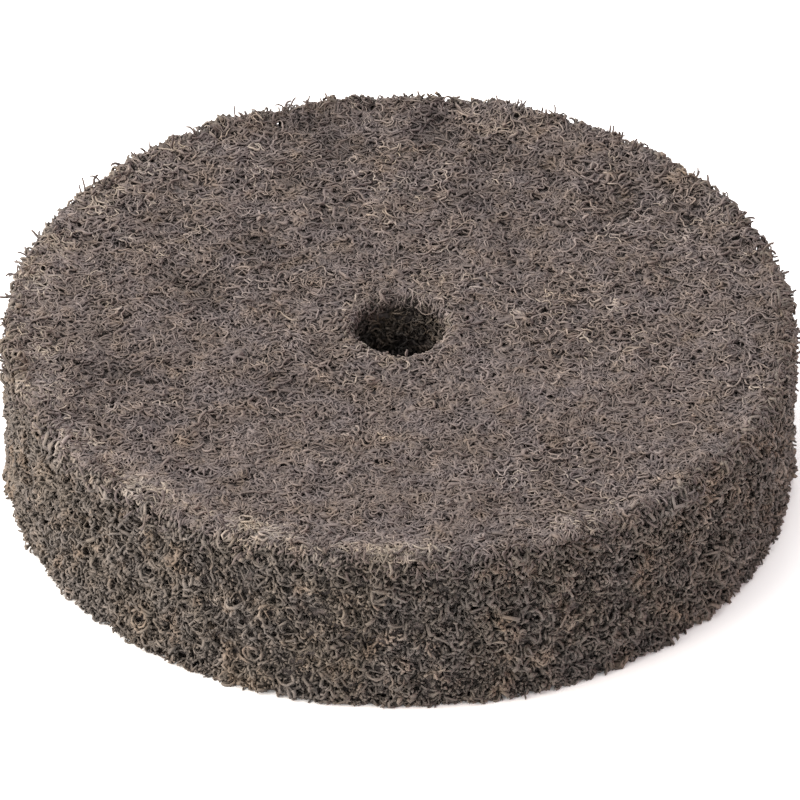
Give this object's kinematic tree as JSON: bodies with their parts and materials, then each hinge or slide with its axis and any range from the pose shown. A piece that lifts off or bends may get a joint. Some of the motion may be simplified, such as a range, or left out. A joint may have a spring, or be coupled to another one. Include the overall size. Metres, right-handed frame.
{
  "type": "non-woven polishing wheel",
  "caption": "Thick disc of pressed and bonded non-woven abrasive web with a plain arbor bore, clamped between flanges on a spindle to polish stone.",
  "frame": {"origin": "centre of the bore in the bottom clamping face", "axes": "+Z along the bore axis, from the bottom clamping face to the top one; +X and +Y are free by symmetry"},
  "size_m": [0.1016, 0.1016, 0.023],
  "materials": {
    "coated_web": "open mat of crimped nylon fibres coated with grey-brown abrasive resin, matte with small glints"
  },
  "bodies": {
    "root": {"bottom_face_ply": "coated_web", "web_ply_2": "coated_web", "web_ply_3": "coated_web", "web_ply_4": "coated_web", "web_ply_5": "coated_web", "web_ply_6": "coated_web", "web_ply_7": "coated_web", "top_face_ply": "coated_web"}
  },
  "joints": []
}
